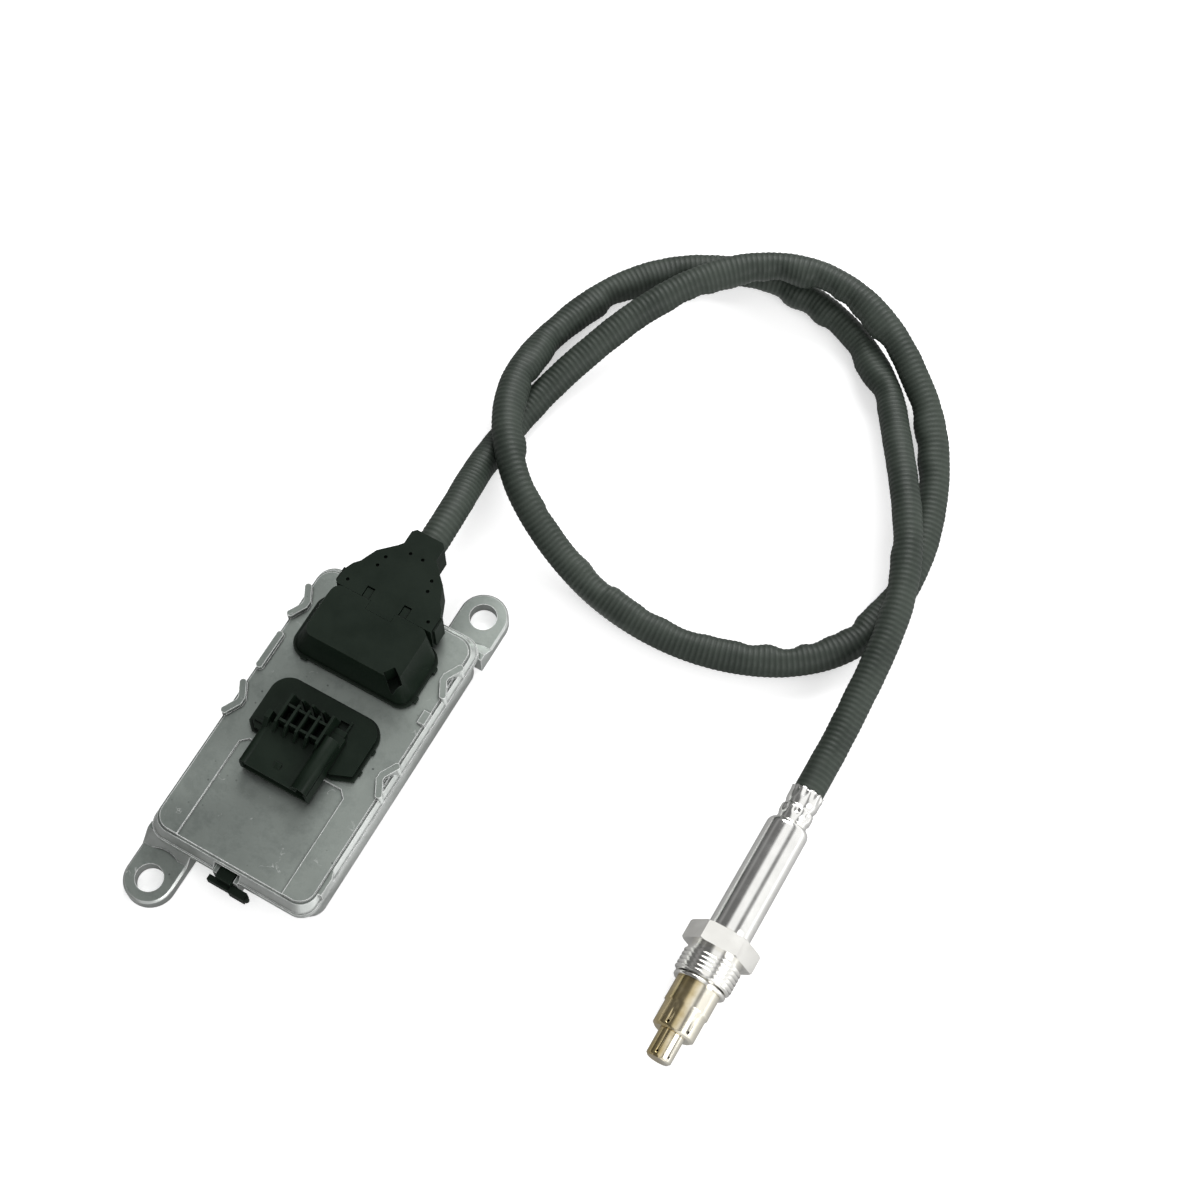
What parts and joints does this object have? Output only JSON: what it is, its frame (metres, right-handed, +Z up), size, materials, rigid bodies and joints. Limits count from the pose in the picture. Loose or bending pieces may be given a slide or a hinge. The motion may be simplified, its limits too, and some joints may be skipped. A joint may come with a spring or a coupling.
{
  "type": "nitrogen oxide sensor",
  "caption": "Exhaust gas sensor: a flat die-cast control unit with a plug socket, joined by a long sleeved cable to a threaded stainless probe with a free-turning gland nut.",
  "frame": {"origin": "centre of the control unit's mounting plane, between its two ear holes", "axes": "+Z up out of the lid, +Y along the control unit towards its cable outlet, +X towards the probe as it lies beside the unit"},
  "size_m": [0.1954, 0.3199, 0.032],
  "materials": {
    "die_cast": "as cast, dull, with bright edges",
    "black_plastic": "satin",
    "seal_rubber": "matt",
    "board": "satin",
    "component_plastic": "matt",
    "terminal_metal": "tinned",
    "wire_plastic": "satin",
    "sleeve_rubber": "ribbed, satin",
    "stainless": "polished",
    "nut_steel": "dull",
    "tinted_steel": "straw tinted",
    "ceramic": "matt ceramic"
  },
  "bodies": {
    "sensor": {"base_housing": "die_cast", "top_cover": "die_cast", "cover_gasket": "seal_rubber", "circuit_board": "board", "board_components": "component_plastic", "connector_header": "black_plastic", "connector_terminals": "terminal_metal", "outlet_housing": "black_plastic", "outlet_shell_upper": "black_plastic", "outlet_shell_lower": "black_plastic", "cable_seal": "seal_rubber", "lead_wires": "wire_plastic", "end_clip": "black_plastic", "cable_sleeve": "sleeve_rubber", "crimp_collar": "stainless", "rear_grommet": "seal_rubber", "probe_barrel": "stainless", "contact_holder": "ceramic", "probe_body": "nut_steel", "ceramic_bushing": "ceramic", "sensor_element": "ceramic", "outer_protection_tube": "tinted_steel", "tip_tube": "tinted_steel"},
    "nut": {"gland_nut": "nut_steel"}
  },
  "joints": [
    {"name": "gland_nut_spin", "type": "hinge", "parent": "sensor", "child": "nut", "pos_m": [0.1505, -0.0005, 0.011], "axis": [0, 1, 0], "continuous": true}
  ]
}
